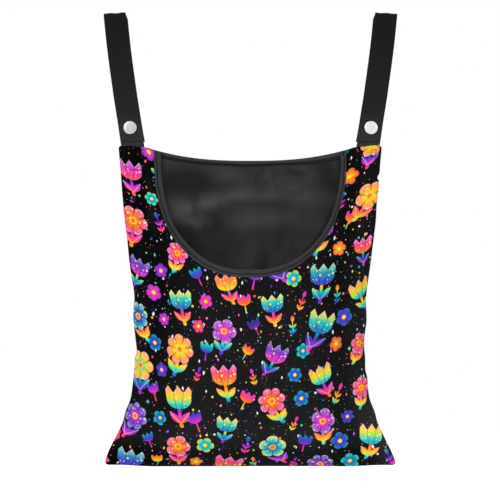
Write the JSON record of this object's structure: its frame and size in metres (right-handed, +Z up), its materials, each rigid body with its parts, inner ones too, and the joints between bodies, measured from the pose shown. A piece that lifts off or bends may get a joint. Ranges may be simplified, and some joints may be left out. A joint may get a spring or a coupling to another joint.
{
  "type": "peg bag",
  "caption": "Hanging fabric peg bag with a deep rounded front mouth, lined and tape-bound, on webbing straps that loop over a clothesline and close with press studs.",
  "frame": {"origin": "on the clothesline: top of the inside of the strap loops, halfway between the two straps", "axes": "+X to the right seen from the front, +Y towards the back, +Z up; the mouth faces -Y"},
  "size_m": [0.3232, 0.0985, 0.5035],
  "materials": {
    "printed_cloth": "plain-weave polyester with an all-over print on black",
    "lining": "smooth black lining with a soft sheen",
    "binding_tape": "matt black bias tape, stitched",
    "webbing": "matt black polypropylene webbing",
    "press_stud": "bright nickel-plated"
  },
  "bodies": {
    "straps": {"strap_left": "webbing", "strap_right": "webbing", "stud_left": "press_stud", "stud_right": "press_stud", "stud_rivet_left": "press_stud", "stud_rivet_right": "press_stud"},
    "left_flap": {"flap_left": "webbing", "snap_cap_left": "press_stud", "snap_socket_left": "press_stud"},
    "right_flap": {"flap_right": "webbing", "snap_cap_right": "press_stud", "snap_socket_right": "press_stud"},
    "bag": {"front_panel": "printed_cloth", "front_lining": "lining", "back_panel": "printed_cloth", "back_lining": "lining", "mouth_binding": "binding_tape", "top_binding": "binding_tape", "strap_tail_left": "webbing", "strap_tail_right": "webbing"}
  },
  "joints": [
    {"name": "bag_swing", "type": "hinge", "parent": "straps", "child": "bag", "pos_m": [0, 0, -0.1492], "axis": [-1, 0, 0], "range_deg": [-60, 60]},
    {"name": "left_flap_open", "type": "hinge", "parent": "straps", "child": "left_flap", "pos_m": [-0.1488, -0.005, -0.00595], "axis": [-1, 0, 0], "range_deg": [0, 110]},
    {"name": "right_flap_open", "type": "hinge", "parent": "straps", "child": "right_flap", "pos_m": [0.1488, -0.005, -0.00595], "axis": [-1, 0, 0], "range_deg": [0, 110]}
  ]
}
